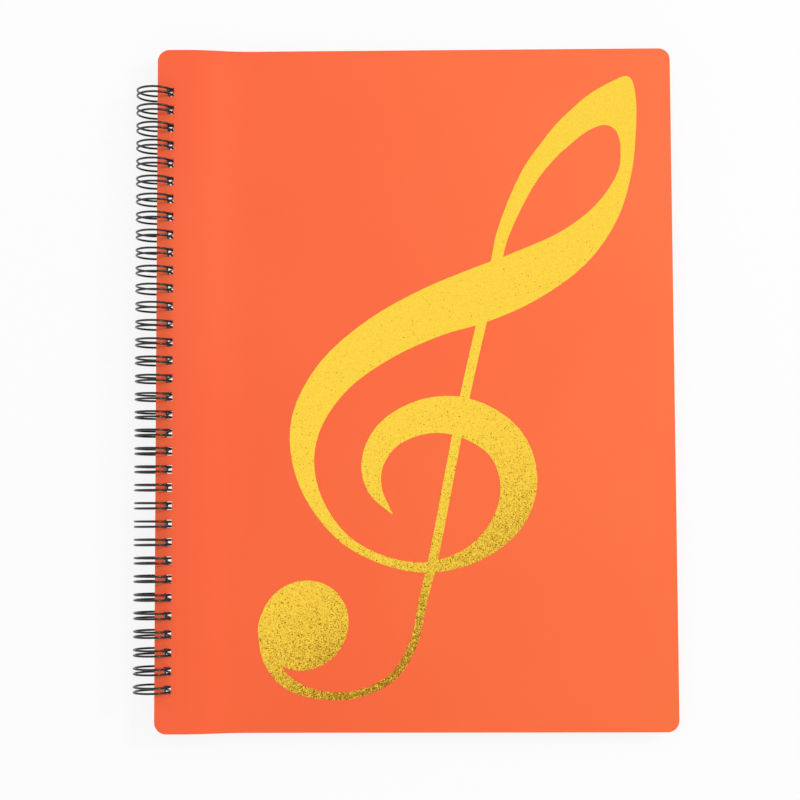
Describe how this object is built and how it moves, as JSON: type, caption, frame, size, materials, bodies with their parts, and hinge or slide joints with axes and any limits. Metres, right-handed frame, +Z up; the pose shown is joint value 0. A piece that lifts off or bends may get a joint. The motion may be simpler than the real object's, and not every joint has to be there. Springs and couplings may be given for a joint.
{
  "type": "music folder",
  "caption": "Wire-bound music folder with orange plastic covers, clear A4 sleeves, black twin-loop wire and a gold foil clef.",
  "frame": {"origin": "under the middle of the closed folder, on the surface it lies on", "axes": "+Z up out of the front cover, +Y towards the head of the page, -X towards the wire-bound spine"},
  "size_m": [0.2524, 0.32, 0.018],
  "materials": {
    "cover_plastic": "satin orange polypropylene with a fine grain",
    "gold_foil": "bright hot-stamped gold foil with a glittery grain",
    "clear_film": "clear glossy film",
    "black_wire": "glossy black coated steel wire"
  },
  "bodies": {
    "back_and_wire": {"back_cover": "cover_plastic", "twin_loop_wire": "black_wire"},
    "sleeves": {"sleeve_block": "clear_film"},
    "front": {"front_cover": "cover_plastic", "clef_foil": "gold_foil"}
  },
  "joints": [
    {"name": "sleeve_turn", "type": "hinge", "parent": "back_and_wire", "child": "sleeves", "pos_m": [-0.11723, 0, 0.009], "axis": [0, -1, 0], "range_deg": [0, 180]},
    {"name": "front_cover_turn", "type": "hinge", "parent": "sleeves", "child": "front", "pos_m": [-0.11723, 0, 0.009], "axis": [0, -1, 0], "range_deg": [0, 180]}
  ]
}
